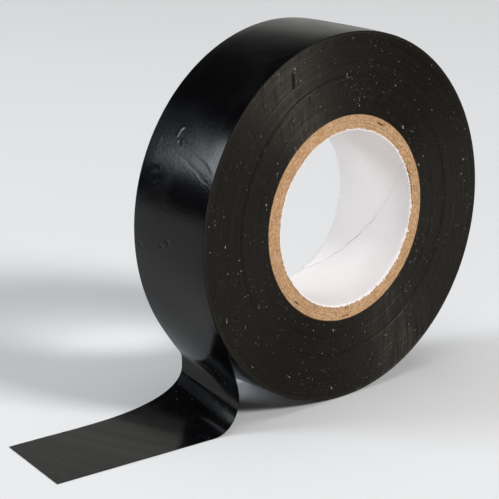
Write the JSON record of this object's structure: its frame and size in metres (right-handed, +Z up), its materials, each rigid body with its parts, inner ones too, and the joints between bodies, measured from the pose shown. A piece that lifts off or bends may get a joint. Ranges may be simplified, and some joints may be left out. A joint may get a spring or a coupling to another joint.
{
  "type": "electrical tape roll",
  "caption": "Black PVC insulating tape wound on a paper core, standing on its rim with a short peeled tail lying flat.",
  "frame": {"origin": "centre of the roll: on its axis, midway across the tape's width", "axes": "+Y along the roll's axis, away from the side that the tail's near edge is on; +Z up, so that the roll stands on its rim; the tail lies towards -X"},
  "size_m": [0.0987, 0.0219, 0.069],
  "materials": {
    "pvc_tape": "gloss",
    "kraft_paper": "matte",
    "liner_paper": "matte"
  },
  "bodies": {
    "lead": {"tape_lead": "pvc_tape"},
    "roll": {"core_liner": "liner_paper", "core_ply_1": "kraft_paper", "core_ply_2": "kraft_paper", "core_ply_3": "kraft_paper", "core_ply_4": "kraft_paper", "core_ply_5": "kraft_paper", "wound_tape": "pvc_tape"},
    "free_end": {"tape_free_end": "pvc_tape"}
  },
  "joints": [
    {"name": "unwind", "type": "hinge", "parent": "lead", "child": "roll", "pos_m": [0, 0, 0], "axis": [0, 1, 0], "continuous": true},
    {"name": "tail_lift", "type": "hinge", "parent": "lead", "child": "free_end", "pos_m": [-0.0476, 0.0018, -0.03437], "axis": [0.0812, 0.9967, 0], "range_deg": [0, 90]}
  ]
}
